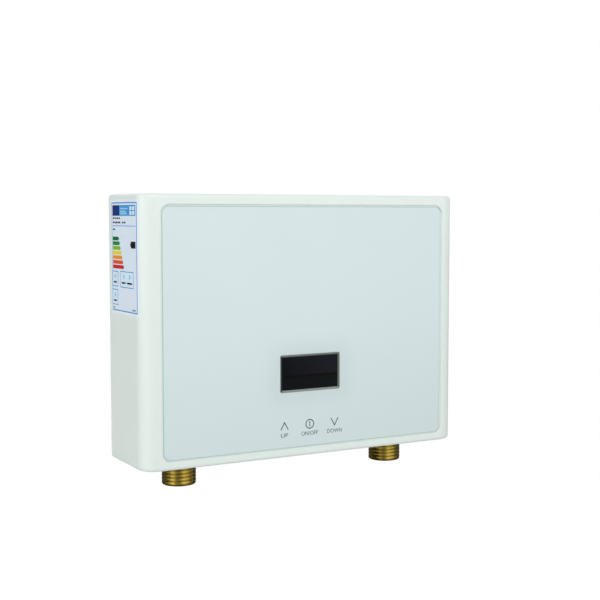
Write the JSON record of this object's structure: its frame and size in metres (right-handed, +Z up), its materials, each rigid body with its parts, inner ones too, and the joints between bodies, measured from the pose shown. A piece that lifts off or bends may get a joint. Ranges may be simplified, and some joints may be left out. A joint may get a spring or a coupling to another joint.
{
  "type": "tankless water heater",
  "caption": "Wall-hung electric instantaneous water heater: a rounded plastic case with a glass front, a display window with touch keys, and threaded brass water fittings below.",
  "frame": {"origin": "middle of the back face, where the case meets the wall", "axes": "+X to the right of someone facing the heater, +Y into the wall, +Z up"},
  "size_m": [0.22, 0.0535, 0.176],
  "materials": {
    "case_white": "smooth, softly glossy moulding",
    "plate_white": "fine matt moulding",
    "panel_glass": "polished front, colour on the back",
    "tape": "dull foam tape",
    "trim_grey": "satin metallic grey",
    "smoked": "polished smoked window",
    "module_black": "matt black",
    "board_green": "lacquered board",
    "spring_steel": "bright drawn wire",
    "brass": "turned, lightly polished",
    "stainless": "drawn stainless steel",
    "copper": "drawn copper, slightly dulled",
    "aluminium": "extruded, plain",
    "sensor_black": "glass-filled moulding",
    "rotor_white": "natural acetal",
    "rubber": "dull rubber",
    "phenolic": "moulded phenolic",
    "button_red": "smooth",
    "relay_blue": "smooth moulding",
    "coil_yellow": "coated core",
    "lead_brown": "soft insulation",
    "lead_blue": "soft insulation",
    "lead_green": "soft insulation",
    "ribbon_grey": "soft flat cable"
  },
  "bodies": {
    "heater": {"front_cover": "case_white", "back_plate": "plate_white", "glass_panel": "panel_glass", "glass_tape": "tape", "display_trim": "trim_grey", "display_window": "smoked", "display_module": "module_black", "flow_pickup": "module_black", "triac_left": "module_black", "triac_right": "module_black", "display_board": "board_green", "power_board": "board_green", "touch_spring_up": "spring_steel", "touch_spring_power": "spring_steel", "touch_spring_down": "spring_steel", "inlet_fitting": "brass", "outlet_fitting": "brass", "tank_cap": "brass", "outlet_probe": "brass", "inlet_probe": "brass", "earth_screw": "brass", "tank_body": "stainless", "tank_strap_left": "stainless", "tank_strap_right": "stainless", "heating_element_upper": "stainless", "heating_element_lower": "stainless", "rotor_axle": "stainless", "case_screw_bottom_left": "stainless", "case_screw_top_left": "stainless", "case_screw_bottom_right": "stainless", "case_screw_top_right": "stainless", "inlet_pipe": "copper", "outlet_pipe": "copper", "neutral_link": "copper", "heat_sink": "aluminium", "flow_sensor_body": "sensor_black", "flow_sensor_cap": "sensor_black", "supply_capacitor": "sensor_black", "inlet_filter": "rotor_white", "terminal_block": "rotor_white", "case_seal": "rubber", "tank_seal": "rubber", "cable_grommet": "rubber", "cutout_body": "phenolic", "relay_left": "relay_blue", "relay_right": "relay_blue", "supply_transformer": "coil_yellow", "leakage_coil": "coil_yellow", "live_lead": "lead_brown", "element_lead_upper": "lead_brown", "element_lead_lower": "lead_brown", "neutral_lead": "lead_blue", "earth_lead": "lead_green", "ribbon_cable": "ribbon_grey"},
    "rotor": {"flow_rotor": "rotor_white"},
    "button": {"reset_button": "button_red"}
  },
  "joints": [
    {"name": "rotor_spin", "type": "hinge", "parent": "heater", "child": "rotor", "pos_m": [0.075, -0.022, -0.0512], "axis": [0, 0, 1], "continuous": true},
    {"name": "reset_press", "type": "slide", "parent": "heater", "child": "button", "axis": [0, 0, -1], "range_m": [0, 0.0015], "stiffness_N_per_m": 150, "springref_m": -0.002}
  ]
}
